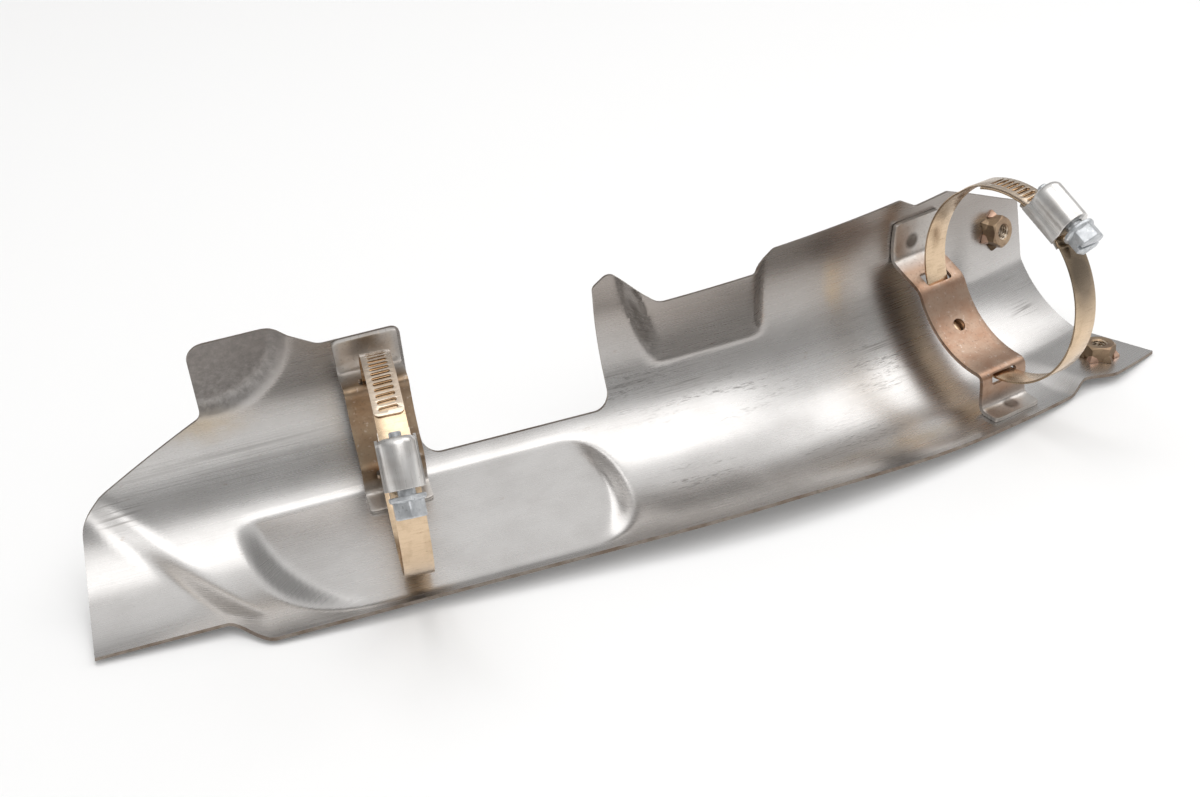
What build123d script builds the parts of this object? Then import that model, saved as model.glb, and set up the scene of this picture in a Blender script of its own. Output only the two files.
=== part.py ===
import os
from math import ceil, cos, degrees, hypot, radians, sin, sqrt

from build123d import *

# Exhaust heat shield: a pressed sheet trough round a bent pipe, with two slotted saddles
# welded into it, a worm-drive clamp through each saddle and two weld nuts at the bent end.
# Lengths are in millimetres and angles in degrees.
#
# "along" is the path length on the pipe's axis, with 0 near the left clamp.
# "angle" goes round the pipe from the middle of the trough's floor, positive to the far wall.

# Pipe that the shield wraps
pipe_diameter = 54.0
bend_start = 70.0
bend_radius = 280.0
bend_lean = 16.0

# Place and attitude of the straight part as the shield lies on a flat surface
rest_x = -75.63
rest_y = -13.42
rest_z = 41.22
rest_roll = 58.1
rest_pitch = -4.83

# Pressed sheet
sheet = 1.0
air_gap = 11.5
wall_tangent = 46.0
far_angle = 100.0
near_angle = -74.0
shield_start = -96.0
shield_end = 243.0
pressed_pitch = 6.0
bend_pitch = 12.0
straight_pitch = 40.0
points_per_station = 22

# Neck at the left end, stepped inwards across a slanting line
neck_step = 3.6
neck_line = -69.0
neck_slope = -0.49
neck_turn = -55.0
neck_run = 12.0
neck_rim_rise = 13.5
neck_rim_start = -42.0

# Near rim, opened out along the bend
flare = 2.4
flare_angle = -50.0
flare_start = 100.0
flare_run = 70.0

# Long flat pad in the floor
pad_middle = -38.0
pad_half = 30.0
pad_start = -46.0
pad_start_run = 9.0
pad_sweep = 34.0
pad_end = 64.0
pad_end_run = 9.0

# Flat pocket in the far wall
pocket_middle = 44.0
pocket_half = 31.0
pocket_start = 74.0
pocket_start_run = 9.0
pocket_start_slope = -0.15
pocket_end = 124.0
pocket_end_run = 7.0

# Dish on the far tab at the left, pressed outwards
dish_depth = 2.6
dish_along = -43.0
dish_rise = 52.0
dish_length = 24.0
dish_height = 26.0
dish_run = 0.3

# Flats for the weld nuts
nut_flat_run = 8.0
upper_flat_length = 38.0
upper_flat_middle = 22.0
upper_flat_half = 20.0
lower_flat_length = 37.0
lower_flat_middle = -60.0
lower_flat_half = 18.0
lower_tab_drop = 7.0
lower_tab_length = 30.0
lower_tab_run = 11.0

# Trimmed far edge, drawn in a plane that leans back from the trough's opening
trim_lean = 25.0
trim_reach = 200.0
trim_margin = 1.0
left_end = -85.5
left_slant = 0.17
corner_run = 6.0
corner_foot = -10.0
corner_edge = -6.0
slope_top = 10.5
dish_tab_edge = -47.3
dish_tab_top = 33.6
dish_tab_end = -24.0
saddle_tab_start = -12.0
saddle_tab_top = 25.4
saddle_tab_edge = 10.5
cutout_floor = -16.5
cutout_end = 65.5
ear_foot = 21.5
ear_top = 25.5
ear_along = 70.5
pocket_along = 83.0
pocket_top = 13.3
shoulder_start = 115.5
shoulder_along = 120.5
shoulder_top = 17.3
step_along = 164.0
step_end = 170.0
end_tab_top = 12.8
end_tab_along = 182.0
end_corner_along = 214.0
end_corner_top = -5.0
sharp_corner = 2.5
soft_corner = 5.0
wide_corner = 9.0

# Saddles
saddle_sheet = 1.2
saddle_width = 18.0
saddle_bend = 2.6
saddle_corner = 3.0
weld_gap = 0.05
strip_tolerance = 0.01
saddle_hole = 4.0
left_along = 0.5
left_saddle_middle = 26.5
left_saddle_half = 25.0
left_flange_top = 64.5
left_low_bend = -9.5
left_flange_foot = -20.5
left_hole_angle = 25.5
right_along = 187.0
right_saddle_middle = -24.0
right_saddle_half = 35.0
right_flange_top = 44.5
right_high_bend = 25.5
right_low_bend = -59.0
right_flange_foot = -68.5
right_hole_angle = -17.0

# Worm-drive clamps
band_width = 8.0
band_sheet = 0.6
layer_gap = 0.15
slot_side_gap = 1.0
slot_inner_gap = 0.35
slot_outer_gap = 2.0
left_ring_gap = 1.4
left_ring_shift = -1.15
left_ring_lean = 2.6
left_ring_tilt = 2.3
left_tongue_angle = 116.0
left_tail_angle = 156.0
left_housing_angle = 180.0
right_ring_gap = 0.6
right_tongue_angle = 104.0
right_tail_reach = 6.0
right_slots_past = 2
right_housing_angle = 152.0
tail_lift_angle = 14.0
tail_lead_angle = 4.0
tail_corner = 1.5
tail_margin = 1.8
band_slot_pitch = 2.0
band_slot_length = 5.0
band_slot_width = 1.25
band_slot_slant = 4.0
band_slot_count = 14

# Worm housing, its plate and its screw
housing_length = 14.0
housing_sheet = 0.8
band_side_gap = 0.25
skirt_reach = 0.1
worm_radius = 3.8
worm_root = 3.0
worm_bite = 0.35
worm_end_gap = 0.3
neck_radius = 2.3
tip_radius = 1.6
bearing_gap = 0.3
tip_reach = 1.0
plate_sheet = 0.8
plate_gap = 0.1
plate_length = 17.0
head_gap = 1.3
flange_radius = 5.1
flange_thickness = 1.2
hex_across = 8.0
hex_height = 4.6
hex_chamfer = 0.5
driver_slot_width = 1.1
driver_slot_depth = 1.3

# Weld nuts
nut_across = 9.0
nut_height = 4.5
nut_bore = 4.3
nut_chamfer = 0.5
nut_foot_height = 1.1
nut_foot_reach = 1.5
nut_collar_gap = 0.1
bolt_hole = 6.0
upper_nut_inset = 17.0
upper_nut_offset = 0.0
upper_nut_turn = 23.0
lower_nut_inset = 14.0
lower_nut_offset = 3.5
lower_nut_turn = 10.0

pipe_radius = pipe_diameter / 2
trough_radius = pipe_radius + air_gap
left_ring_radius = pipe_radius + saddle_sheet + left_ring_gap
right_ring_radius = pipe_radius + saddle_sheet + right_ring_gap
tail_height = 1.5 * band_sheet + layer_gap
upper_flat_start = shield_end - upper_flat_length
lower_flat_start = shield_end - lower_flat_length
lower_tab_start = shield_end - lower_tab_length
rest = Plane((rest_x, rest_y, rest_z)).rotated((rest_roll, rest_pitch, 0))


def ramp(value, start, end):
    share = min(max((value - start) / (end - start), 0), 1)
    return share * share * (3 - 2 * share)


def polar(radius, angle):
    return (radius * sin(radians(angle)), -radius * cos(radians(angle)))


# Arc about the pipe's axis, from one angle to another
def pipe_arc(radius, start, end):
    return CenterArc((0, 0), radius, start - 90, end - start)


# Plane square to the pipe: x across to the far wall, y out of the trough, z along the pipe
def pipe_section(along):
    bend = max(along - bend_start, 0) / bend_radius
    lean = radians(bend_lean)
    drop = bend_radius * (1 - cos(bend))
    run = min(along, bend_start) + bend_radius * sin(bend)
    inward = Vector(-sin(bend), cos(bend) * sin(lean), -cos(bend) * cos(lean))
    across = inward * sin(lean) + Vector(0, cos(lean), sin(lean)) * cos(lean)
    ahead = Vector(cos(bend), sin(bend) * sin(lean), -sin(bend) * cos(lean))
    section = Plane((run, drop * sin(lean), -drop * cos(lean)), x_dir=across, z_dir=ahead)
    return Plane(rest.location * section.location)


# Plane on a circle about the pipe: x along the pipe, z outwards
def radial_plane(section, radius, angle):
    origin = section.from_local_coords((*polar(radius, angle), 0))
    return Plane(origin, x_dir=section.z_dir, z_dir=origin - section.origin)


# Depth of a flat that cuts across the round trough between two angles
def flat_depth(angle, middle, half):
    off = min(abs(angle - middle), half)
    return trough_radius * (1 - cos(radians(half)) / cos(radians(off)))


# Depth of such a flat where it runs on outwards past the near side of the trough
def tab_depth(angle, middle, half):
    off = min(angle - middle, half)
    return trough_radius * (1 - cos(radians(half)) / cos(radians(off)))


# Point at a height over such a flat
def flat_point(angle, middle, half, height):
    seat = trough_radius * cos(radians(half)) - height
    return polar(seat / cos(radians(angle - middle)), angle)


# How far the sheet is pressed in from the plain trough, towards the pipe
def press(along, angle):
    neck_edge = neck_line + neck_slope * max(angle, neck_turn)
    neck = neck_step * ramp(along, neck_edge, neck_edge - neck_run)
    pad_drop = min(max((pad_middle + pad_half - angle) / (2 * pad_half), 0), 1)
    pad_edge = pad_start + pad_sweep * (1 - sqrt(1 - pad_drop**2))
    pad = flat_depth(angle, pad_middle, pad_half)
    pad *= ramp(along, pad_edge, pad_edge + pad_start_run)
    pad *= ramp(along, pad_end, pad_end - pad_end_run)
    pocket_edge = pocket_start + pocket_start_slope * (angle - pocket_middle)
    pocket = flat_depth(angle, pocket_middle, pocket_half)
    pocket *= ramp(along, pocket_edge, pocket_edge + pocket_start_run)
    pocket *= ramp(along, pocket_end, pocket_end - pocket_end_run)
    rise = radians(angle) * trough_radius
    dish_share = hypot((along - dish_along) / dish_length, (rise - dish_rise) / dish_height)
    dish = dish_depth * ramp(dish_share, 1, 1 - dish_run)
    upper = flat_depth(angle, upper_flat_middle, upper_flat_half)
    upper *= ramp(along, upper_flat_start, upper_flat_start + nut_flat_run)
    near = -flare * ramp(angle, flare_angle, near_angle)
    near *= ramp(along, flare_start, flare_start + flare_run)
    lower = tab_depth(angle, lower_flat_middle, lower_flat_half)
    near += (lower - near) * ramp(along, lower_flat_start, lower_flat_start + nut_flat_run)
    return neck + pad + pocket - dish + upper + near


# Point of the sheet in the pipe's section, on the face that lies "growth" outside the inner one
def wall_point(along, angle, growth):
    turn = min(angle, wall_tangent)
    straight = radians(angle - turn) * trough_radius
    radius = trough_radius + growth - press(along, angle)
    across, out = polar(radius, turn)
    return (across + straight * cos(radians(turn)), out + straight * sin(radians(turn)))


def near_rim(along):
    neck = neck_rim_rise * ramp(along, neck_rim_start, neck_rim_start - neck_run)
    tab = lower_tab_drop * ramp(along, lower_tab_start, lower_tab_start + lower_tab_run)
    return near_angle + neck - tab


# Plane of a weld nut's seat on its flat: z points at the pipe
def nut_plane(along, middle, half, offset):
    section = pipe_section(along)
    seat = radial_plane(section, trough_radius * cos(radians(half)) - weld_gap, middle)
    return Plane(seat.from_local_coords((0, offset, 0)), x_dir=section.z_dir, z_dir=-seat.z_dir)


upper_nut_plane = nut_plane(
    shield_end - upper_nut_inset,
    upper_flat_middle,
    upper_flat_half,
    upper_nut_offset,
)
lower_nut_plane = nut_plane(
    shield_end - lower_nut_inset,
    lower_flat_middle,
    lower_flat_half,
    lower_nut_offset,
)

# Trimming form: the far edge's outline, drawn right through, less the two bolt holes
with BuildPart() as trim:
    with BuildSketch(Plane(rest.location * Plane.XY.rotated((trim_lean, 0, 0)).location)):
        with BuildLine():
            FilletPolyline(
                (left_end - left_slant * (trim_reach + corner_foot), -trim_reach),
                (left_end, corner_foot),
                (left_end + corner_run, corner_edge),
                (dish_tab_edge, slope_top),
                (dish_tab_edge, dish_tab_top),
                (dish_tab_end, dish_tab_top),
                (saddle_tab_start, saddle_tab_top),
                (saddle_tab_edge, saddle_tab_top),
                (saddle_tab_edge, cutout_floor),
                (cutout_end, cutout_floor),
                (cutout_end, ear_foot),
                (ear_along, ear_top),
                (pocket_along, pocket_top),
                (shoulder_start, pocket_top),
                (shoulder_along, shoulder_top),
                (step_along, shoulder_top),
                (step_end, end_tab_top),
                (end_tab_along, end_tab_top),
                (end_corner_along, end_corner_top),
                (shield_end + trim_margin, end_corner_top),
                (shield_end + trim_margin, -trim_reach),
                radius=[sharp_corner, wide_corner, soft_corner]
                + [sharp_corner, soft_corner, wide_corner, soft_corner, sharp_corner]
                + [soft_corner] * 2
                + [sharp_corner] * 2
                + [soft_corner]
                + [sharp_corner] * 8,
                close=True,
            )
        make_face()
    extrude(amount=trim_reach, both=True)
    for seat in (upper_nut_plane, lower_nut_plane):
        with BuildSketch(seat):
            Circle(bolt_hole / 2)
        extrude(amount=air_gap, both=True, mode=Mode.SUBTRACT)


# Evenly spaced stations, up to but not at the end
def spaced(start, end, pitch):
    count = ceil((end - start) / pitch)
    return [start + (end - start) * step / count for step in range(count)]


# Pressed sheet: lofted through sections that lie close together where it is shaped, then trimmed
pad_floor_start = pad_start + pad_sweep + pad_start_run
pad_floor_end = pad_end - pad_end_run
pocket_floor_start = pocket_start + 2 * pocket_start_run
pocket_floor_end = pocket_end - pocket_end_run
tab_start_end = lower_tab_start + lower_tab_run
stations = spaced(shield_start, pad_floor_start, pressed_pitch)
stations += spaced(pad_floor_start, pad_floor_end, straight_pitch)
stations += spaced(pad_floor_end, pocket_floor_start, pressed_pitch)
stations += spaced(pocket_floor_start, pocket_floor_end, bend_pitch)
stations += spaced(pocket_floor_end, pocket_end, pressed_pitch)
stations += spaced(pocket_end, upper_flat_start, bend_pitch)
stations += spaced(upper_flat_start, tab_start_end, pressed_pitch)
stations += spaced(tab_start_end, shield_end, bend_pitch)
stations += [shield_end]
with BuildPart() as heat_shield:
    for along in stations:
        rim = near_rim(along)
        steps = [step / points_per_station for step in range(points_per_station + 1)]
        angles = [rim + (far_angle - rim) * step for step in steps]
        with BuildSketch(pipe_section(along)):
            with BuildLine():
                inside = Spline(*[wall_point(along, angle, 0) for angle in angles])
                outside = Spline(*[wall_point(along, angle, sheet) for angle in angles])
                Line(inside @ 0, outside @ 0)
                Line(inside @ 1, outside @ 1)
            make_face()
    loft(ruled=True)
    add(trim.part, mode=Mode.INTERSECT)
heat_shield.part.label = "heat_shield"


# Inner bends of a bent strip's middle line, which are all its corners but the two ends
def strip_bends(strip):
    ends = [strip.wires()[0] @ 0, strip.wires()[0] @ 1]
    gaps = [(v, min((Vector(v) - end).length for end in ends)) for v in strip.vertices()]
    return [v for v, gap in gaps if gap > strip_tolerance]


# What is cut out of a saddle: a hole in its middle and the ring that the band passes through
def saddle_cuts(along, hole_angle, ring, ring_radius):
    with BuildPart() as cuts:
        with BuildSketch(radial_plane(pipe_section(along), pipe_radius, hole_angle)):
            Circle(saddle_hole / 2)
        extrude(amount=2 * saddle_sheet, both=True)
        with BuildSketch(ring):
            Circle(ring_radius + band_sheet + slot_outer_gap)
            Circle(ring_radius - slot_inner_gap, mode=Mode.SUBTRACT)
        extrude(amount=band_width / 2 + slot_side_gap, both=True)
    return cuts.part


# Short edges of a strip's end, at a point of its pipe section
def end_corners(part, plane, point):
    end = part.faces().sort_by_distance(plane.from_local_coords((*point, 0)))[0]
    return end.edges().sort_by(SortBy.LENGTH)[:2]


left_turn = Rotation(-left_ring_tilt, -left_ring_lean, 0)
left_ring = Plane(pipe_section(left_along + left_ring_shift).location * left_turn)
right_ring = pipe_section(right_along)
saddle_radius = pipe_radius + saddle_sheet / 2
flange_lift = weld_gap + saddle_sheet / 2

# Left saddle: straight flanges, on the far wall and on the floor's pad
left_section = pipe_section(left_along)
left_top = wall_point(left_along, left_flange_top, -flange_lift)
left_foot = flat_point(left_flange_foot, pad_middle, pad_half, flange_lift)
with BuildPart() as left_saddle:
    with BuildSketch(left_section):
        with BuildLine() as left_strip:
            left_arc = pipe_arc(
                saddle_radius,
                left_saddle_middle - left_saddle_half,
                left_saddle_middle + left_saddle_half,
            )
            left_web_foot = flat_point(left_low_bend, pad_middle, pad_half, flange_lift)
            left_web_top = wall_point(left_along, wall_tangent, -flange_lift)
            Polyline(left_foot, left_web_foot, left_arc @ 0)
            Polyline(left_arc @ 1, left_web_top, left_top)
            fillet(strip_bends(left_strip), saddle_bend)
        trace(line_width=saddle_sheet)
    extrude(amount=saddle_width / 2, both=True)
    fillet(end_corners(left_saddle, left_section, left_top), saddle_corner)
    fillet(end_corners(left_saddle, left_section, left_foot), saddle_corner)
    add(saddle_cuts(left_along, left_hole_angle, left_ring, left_ring_radius), mode=Mode.SUBTRACT)
left_saddle.part.label = "left_saddle"

# Right saddle: both flanges follow the trough's own curve
right_section = pipe_section(right_along)
right_top = wall_point(right_along, right_flange_top, -flange_lift)
right_foot = wall_point(right_along, right_flange_foot, -flange_lift)


def right_flange(start, end):
    angles = [start, (start + end) / 2, end]
    return ThreePointArc(*[wall_point(right_along, angle, -flange_lift) for angle in angles])


with BuildPart() as right_saddle:
    with BuildSketch(right_section):
        with BuildLine() as right_strip:
            right_arc = pipe_arc(
                saddle_radius,
                right_saddle_middle - right_saddle_half,
                right_saddle_middle + right_saddle_half,
            )
            low_flange = right_flange(right_flange_foot, right_low_bend)
            high_flange = right_flange(right_high_bend, right_flange_top)
            Line(low_flange @ 1, right_arc @ 0)
            Line(right_arc @ 1, high_flange @ 0)
            fillet(strip_bends(right_strip), saddle_bend)
        trace(line_width=saddle_sheet)
    extrude(amount=saddle_width / 2, both=True)
    fillet(end_corners(right_saddle, right_section, right_top), saddle_corner)
    fillet(end_corners(right_saddle, right_section, right_foot), saddle_corner)
    add(saddle_cuts(right_along, right_hole_angle, right_ring, right_ring_radius), mode=Mode.SUBTRACT)
right_saddle.part.label = "right_saddle"


# Hexagon weld nut with a foot at every corner and a collar that fills the sheet's hole
def weld_nut(plane, turn, label):
    foot_radius = nut_across / 2 / cos(radians(30)) + nut_foot_reach
    with BuildPart() as nut:
        with BuildSketch(plane):
            RegularPolygon(nut_across / 2, 6, major_radius=False, rotation=turn)
        extrude(amount=nut_height)
        chamfer(nut.faces().sort_by(Axis(plane.origin, plane.z_dir))[-1].edges(), nut_chamfer)
        with BuildSketch(plane):
            RegularPolygon(foot_radius, 3, rotation=turn)
            RegularPolygon(foot_radius, 3, rotation=turn + 60)
        extrude(amount=nut_foot_height)
        with BuildSketch(plane):
            Circle(bolt_hole / 2 - nut_collar_gap)
        extrude(amount=-sheet)
        with BuildSketch(plane.offset(-sheet)):
            Circle(nut_bore / 2)
        extrude(amount=sheet + nut_height, mode=Mode.SUBTRACT)
    nut.part.label = label
    return nut


upper_weld_nut = weld_nut(upper_nut_plane, upper_nut_turn, "upper_weld_nut")
lower_weld_nut = weld_nut(lower_nut_plane, lower_nut_turn, "lower_weld_nut")


# Band of a clamp: the inner layer from its tongue right round, a lift, and the slotted tail on top
def clamp_band(ring, ring_radius, tongue_angle, tail_angle, first_slot_angle, label):
    inner_radius = ring_radius + band_sheet / 2
    outer_radius = ring_radius + tail_height
    lift_end = tongue_angle + 360 - tail_lead_angle
    lift_start = lift_end - tail_lift_angle
    tail_end = tail_angle + 360
    with BuildPart() as band:
        with BuildSketch(ring):
            with BuildLine():
                inner = pipe_arc(inner_radius, tongue_angle, lift_start)
                outer = pipe_arc(outer_radius, lift_end, tail_end)
                Spline(inner @ 1, outer @ 0, tangents=[inner % 1, outer % 0])
            trace(line_width=band_sheet)
        extrude(amount=band_width / 2, both=True)
        fillet(end_corners(band, ring, polar(outer_radius, tail_end)), tail_corner)
        for slot in range(band_slot_count):
            slot_angle = first_slot_angle - slot * degrees(band_slot_pitch / outer_radius)
            with BuildSketch(radial_plane(ring, outer_radius, slot_angle)):
                Rectangle(band_slot_length, band_slot_width, rotation=band_slot_slant)
            extrude(amount=(band_sheet + layer_gap) / 2, both=True, mode=Mode.SUBTRACT)
    band.part.label = label
    return band


# Plane of a worm: x along the pipe, y outwards, z along the worm to its head
def worm_plane(ring, ring_radius, angle):
    height = ring_radius + 2 * band_sheet + layer_gap + worm_radius - worm_bite
    seat = radial_plane(ring, height, angle)
    return Plane(seat.origin, x_dir=ring.z_dir, z_dir=ring.z_dir.cross(seat.z_dir))


# Pressed cap over the worm, with a bearing wall at each end
def clamp_housing(worm, label):
    inner_half = band_width / 2 + band_side_gap
    middle_half = inner_half + housing_sheet / 2
    worm_height = 2 * band_sheet + layer_gap + worm_radius - worm_bite
    foot = -(worm_height + plate_gap + plate_sheet + skirt_reach)
    end_walls = (
        (-housing_length / 2, tip_radius),
        (housing_length / 2 - housing_sheet, neck_radius),
    )
    with BuildPart() as housing:
        with BuildSketch(worm):
            with BuildLine():
                crown = CenterArc((0, 0), middle_half, 0, 180)
                Line(crown @ 0, (middle_half, foot))
                Line(crown @ 1, (-middle_half, foot))
            trace(line_width=housing_sheet)
        extrude(amount=housing_length / 2, both=True)
        for wall_place, shaft_radius in end_walls:
            with BuildSketch(worm.offset(wall_place)):
                Circle(middle_half)
                with Locations((0, -worm_root)):
                    below = (Align.CENTER, Align.MAX)
                    Rectangle(2 * middle_half, middle_half, align=below, mode=Mode.SUBTRACT)
                    Rectangle(2 * middle_half, worm_root, align=(Align.CENTER, Align.MIN))
                Circle(shaft_radius + bearing_gap, mode=Mode.SUBTRACT)
            extrude(amount=housing_sheet)
    housing.part.label = label
    return housing


# Curved plate under the band, between the housing's skirts
def clamp_plate(ring, ring_radius, housing_angle, label):
    plate_radius = ring_radius - plate_gap - plate_sheet / 2
    plate_half = degrees(plate_length / 2 / plate_radius)
    with BuildPart() as plate:
        with BuildSketch(ring):
            with BuildLine():
                pipe_arc(plate_radius, housing_angle - plate_half, housing_angle + plate_half)
            trace(line_width=plate_sheet)
        extrude(amount=band_width / 2 + band_side_gap - plate_gap, both=True)
    plate.part.label = label
    return plate


# Worm screw: tip, worm, neck, round flange and slotted hexagon head
def clamp_screw(worm, label):
    worm_end = housing_length / 2 - housing_sheet - worm_end_gap
    tip_end = housing_length / 2 + tip_reach
    neck_end = housing_length / 2 + head_gap
    flange_end = neck_end + flange_thickness
    with BuildPart() as screw:
        with BuildSketch(Plane(worm.origin, x_dir=worm.z_dir, z_dir=worm.x_dir)):
            with BuildLine():
                Polyline(
                    (-tip_end, 0),
                    (-tip_end, tip_radius),
                    (-worm_end, tip_radius),
                    (-worm_end, worm_root),
                    (worm_end, worm_root),
                    (worm_end, neck_radius),
                    (neck_end, neck_radius),
                    (neck_end, flange_radius),
                    (flange_end, flange_radius),
                    (flange_end, 0),
                    close=True,
                )
            make_face()
        revolve(axis=Axis(worm.origin, worm.z_dir))
        with BuildSketch(worm.offset(flange_end)):
            RegularPolygon(hex_across / 2, 6, major_radius=False)
        extrude(amount=hex_height)
        chamfer(screw.faces().sort_by(Axis(worm.origin, worm.z_dir))[-1].edges(), hex_chamfer)
        with BuildSketch(worm.offset(flange_end + hex_height)):
            Rectangle(2 * hex_across, driver_slot_width)
        extrude(amount=-driver_slot_depth, mode=Mode.SUBTRACT)
    screw.part.label = label
    return screw


left_worm = worm_plane(left_ring, left_ring_radius, left_housing_angle)
right_worm = worm_plane(right_ring, right_ring_radius, right_housing_angle)
left_tail_margin = degrees(tail_margin / left_ring_radius)
right_turn_per_mm = degrees(1 / (right_ring_radius + tail_height))

left_clamp_band = clamp_band(
    left_ring,
    left_ring_radius,
    left_tongue_angle,
    left_tail_angle,
    left_tail_angle - left_tail_margin,
    "left_clamp_band",
)
left_clamp_housing = clamp_housing(left_worm, "left_clamp_housing")
left_clamp_plate = clamp_plate(left_ring, left_ring_radius, left_housing_angle, "left_clamp_plate")
left_clamp_screw = clamp_screw(left_worm, "left_clamp_screw")

right_clamp_band = clamp_band(
    right_ring,
    right_ring_radius,
    right_tongue_angle,
    right_housing_angle + right_turn_per_mm * right_tail_reach,
    right_housing_angle + right_turn_per_mm * band_slot_pitch * right_slots_past,
    "right_clamp_band",
)
right_clamp_housing = clamp_housing(right_worm, "right_clamp_housing")
right_clamp_plate = clamp_plate(right_ring, right_ring_radius, right_housing_angle, "right_clamp_plate")
right_clamp_screw = clamp_screw(right_worm, "right_clamp_screw")

os.makedirs("parts", exist_ok=True)
export_step(heat_shield.part, "parts/heat_shield.step")
export_step(left_saddle.part, "parts/left_saddle.step")
export_step(right_saddle.part, "parts/right_saddle.step")
export_step(upper_weld_nut.part, "parts/upper_weld_nut.step")
export_step(lower_weld_nut.part, "parts/lower_weld_nut.step")
export_step(left_clamp_band.part, "parts/left_clamp_band.step")
export_step(left_clamp_housing.part, "parts/left_clamp_housing.step")
export_step(left_clamp_plate.part, "parts/left_clamp_plate.step")
export_step(left_clamp_screw.part, "parts/left_clamp_screw.step")
export_step(right_clamp_band.part, "parts/right_clamp_band.step")
export_step(right_clamp_housing.part, "parts/right_clamp_housing.step")
export_step(right_clamp_plate.part, "parts/right_clamp_plate.step")
export_step(right_clamp_screw.part, "parts/right_clamp_screw.step")
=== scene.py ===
from bisect import bisect
from math import atan2, cos, hypot, pi, radians, sin, sqrt, tan

import bpy
from mathutils import Matrix, Vector


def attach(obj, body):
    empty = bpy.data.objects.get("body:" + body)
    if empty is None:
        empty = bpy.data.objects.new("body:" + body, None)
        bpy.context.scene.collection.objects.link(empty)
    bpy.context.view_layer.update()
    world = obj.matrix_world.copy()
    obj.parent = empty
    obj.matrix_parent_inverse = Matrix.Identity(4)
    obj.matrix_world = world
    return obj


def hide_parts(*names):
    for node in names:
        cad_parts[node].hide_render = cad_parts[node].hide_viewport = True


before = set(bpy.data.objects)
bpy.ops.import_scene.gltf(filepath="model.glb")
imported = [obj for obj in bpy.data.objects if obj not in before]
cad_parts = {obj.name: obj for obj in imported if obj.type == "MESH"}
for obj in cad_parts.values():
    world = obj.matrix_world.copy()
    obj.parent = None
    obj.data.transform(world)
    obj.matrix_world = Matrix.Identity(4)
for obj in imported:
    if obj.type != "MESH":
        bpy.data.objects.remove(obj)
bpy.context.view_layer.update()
scene = bpy.context.scene
mm = 0.001
tiny = 0.001  # in mm: places this near are one
slack = 0.01  # in mm: reach past an edge that has to be caught
roundSides = 32  # of drills and short rods
edgeAngle = 60  # edges sharper than this are eased
toMetres = Matrix.Scale(mm, 4)
print("frame loaded:", len(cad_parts), "nodes")


def turnBy(angle, axis):
    return Matrix.Rotation(radians(angle), 4, axis)


# where the straight pipe lies, and how it bends on; lengths in mm, angles in degrees
pipe = {
    "place": (-75.63, -13.42, 41.22),
    "roll": 58.1,
    "pitch": -4.83,
    "bendStart": 70.0,
    "bendRadius": 280.0,
    "bendLean": 16.0,
}
restTurn = turnBy(pipe["roll"], "X") @ turnBy(pipe["pitch"], "Y")
restPlace = Matrix.Translation(Vector(pipe["place"])) @ restTurn


def planeAt(origin, xDir, zDir):
    xDir, zDir = xDir.normalized(), zDir.normalized()
    turn = Matrix((xDir, zDir.cross(xDir), zDir)).transposed()
    return Matrix.Translation(origin) @ turn.to_4x4()


# plane square to the pipe: x to the far wall, y out of the trough, z along the pipe
def pipeSection(along):
    bend = max(along - pipe["bendStart"], 0) / pipe["bendRadius"]
    lean = radians(pipe["bendLean"])
    drop = pipe["bendRadius"] * (1 - cos(bend))
    run = min(along, pipe["bendStart"]) + pipe["bendRadius"] * sin(bend)
    inward = Vector((-sin(bend), cos(bend) * sin(lean), -cos(bend) * cos(lean)))
    across = inward * sin(lean) + Vector((0, cos(lean), sin(lean))) * cos(lean)
    ahead = Vector((cos(bend), sin(bend) * sin(lean), -sin(bend) * cos(lean)))
    origin = Vector((run, drop * sin(lean), -drop * cos(lean)))
    return restPlace @ planeAt(origin, across, ahead)


def polar(radius, angle):
    return Vector((radius * sin(radians(angle)), -radius * cos(radians(angle)), 0))


def ramp(value, start, end):
    share = min(max((value - start) / (end - start), 0), 1)
    return share * share * (3 - 2 * share)


# object tools; pieces are modelled in mm and scaled when they are put in place

def onlyActive(obj):
    bpy.ops.object.select_all(action="DESELECT")
    obj.select_set(True)
    bpy.context.view_layer.objects.active = obj


def addPrimitive(kind, **settings):
    bpy.ops.object.select_all(action="DESELECT")
    getattr(bpy.ops.mesh, "primitive_" + kind + "_add")(**settings)
    return bpy.context.object


def applyModifier(obj, kind, **settings):
    onlyActive(obj)
    modifier = obj.modifiers.new(kind.lower(), kind)
    for key, value in settings.items():
        setattr(modifier, key, value)
    bpy.ops.object.modifier_apply(modifier=modifier.name)


def cutWith(obj, cutter, operation="DIFFERENCE", material=None):
    if material:
        cutter.data.materials.append(material)
    applyModifier(
        obj, "BOOLEAN", object=cutter, operation=operation, solver="EXACT", material_mode="TRANSFER")
    bpy.data.objects.remove(cutter)


def smoothByAngle(obj, angle):
    onlyActive(obj)
    bpy.ops.object.shade_smooth_by_angle(angle=radians(angle))


def faceOutward(obj):
    onlyActive(obj)
    bpy.ops.object.mode_set(mode="EDIT")
    bpy.ops.mesh.select_all(action="SELECT")
    bpy.ops.mesh.normals_make_consistent(inside=False)
    bpy.ops.object.mode_set(mode="OBJECT")


# straight body on an outline, from one height to another
def prism(outline, low, high):
    piece = addPrimitive("circle", vertices=len(outline), radius=1, fill_type="NGON")
    for vertex, corner in zip(piece.data.vertices, outline):
        vertex.co = (corner[0], corner[1], low)
    bpy.ops.object.mode_set(mode="EDIT")
    bpy.ops.mesh.select_all(action="SELECT")
    bpy.ops.mesh.extrude_region_move(TRANSFORM_OT_translate={"value": (0, 0, high - low)})
    bpy.ops.object.mode_set(mode="OBJECT")
    faceOutward(piece)
    return piece


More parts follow.
